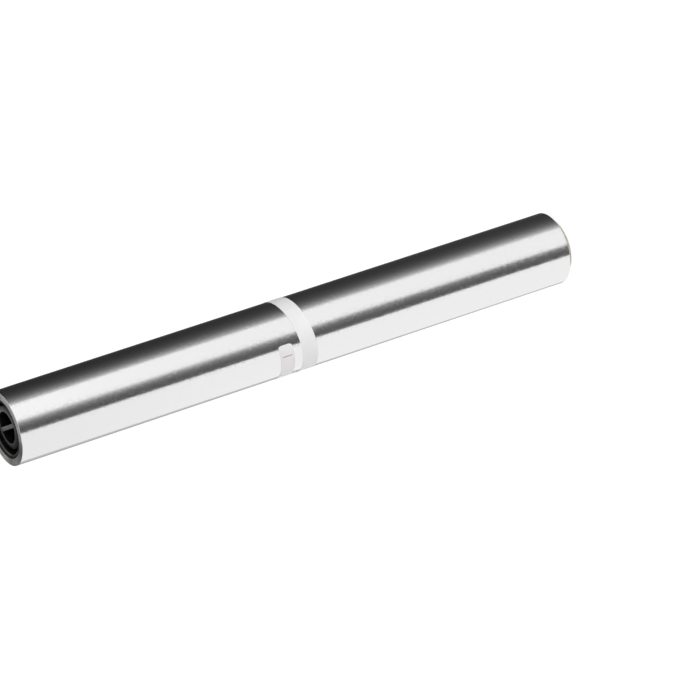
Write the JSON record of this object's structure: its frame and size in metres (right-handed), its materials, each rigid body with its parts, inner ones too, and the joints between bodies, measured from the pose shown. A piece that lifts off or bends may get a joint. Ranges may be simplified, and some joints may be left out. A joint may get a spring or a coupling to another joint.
{
  "type": "aluminium foil roll",
  "caption": "Wide catering roll of aluminium foil on an open board core, with a moulded drive plug in one end, a paper band round the middle and a starter tab.",
  "frame": {"origin": "centre of the ring at the open end of the core, which the roll stands on", "axes": "+Z along the roll's axis, from the open end of the core up to the plugged end; -Y is the front, which the picture shows; the bar across the plug's hub lies along Y"},
  "size_m": [0.054, 0.0541, 0.4545],
  "materials": {
    "foil": "bright rolled foil, shiny side out",
    "board": "spiral-wound kraft board",
    "moulded_plastic": "moulded black, satin",
    "band_paper": "smooth white paper",
    "tab_paper": "smooth off-white label paper"
  },
  "bodies": {
    "root": {"foil_roll": "foil", "core_tube": "board", "end_plug": "moulded_plastic", "paper_band": "band_paper", "starter_tab": "tab_paper"}
  },
  "joints": []
}
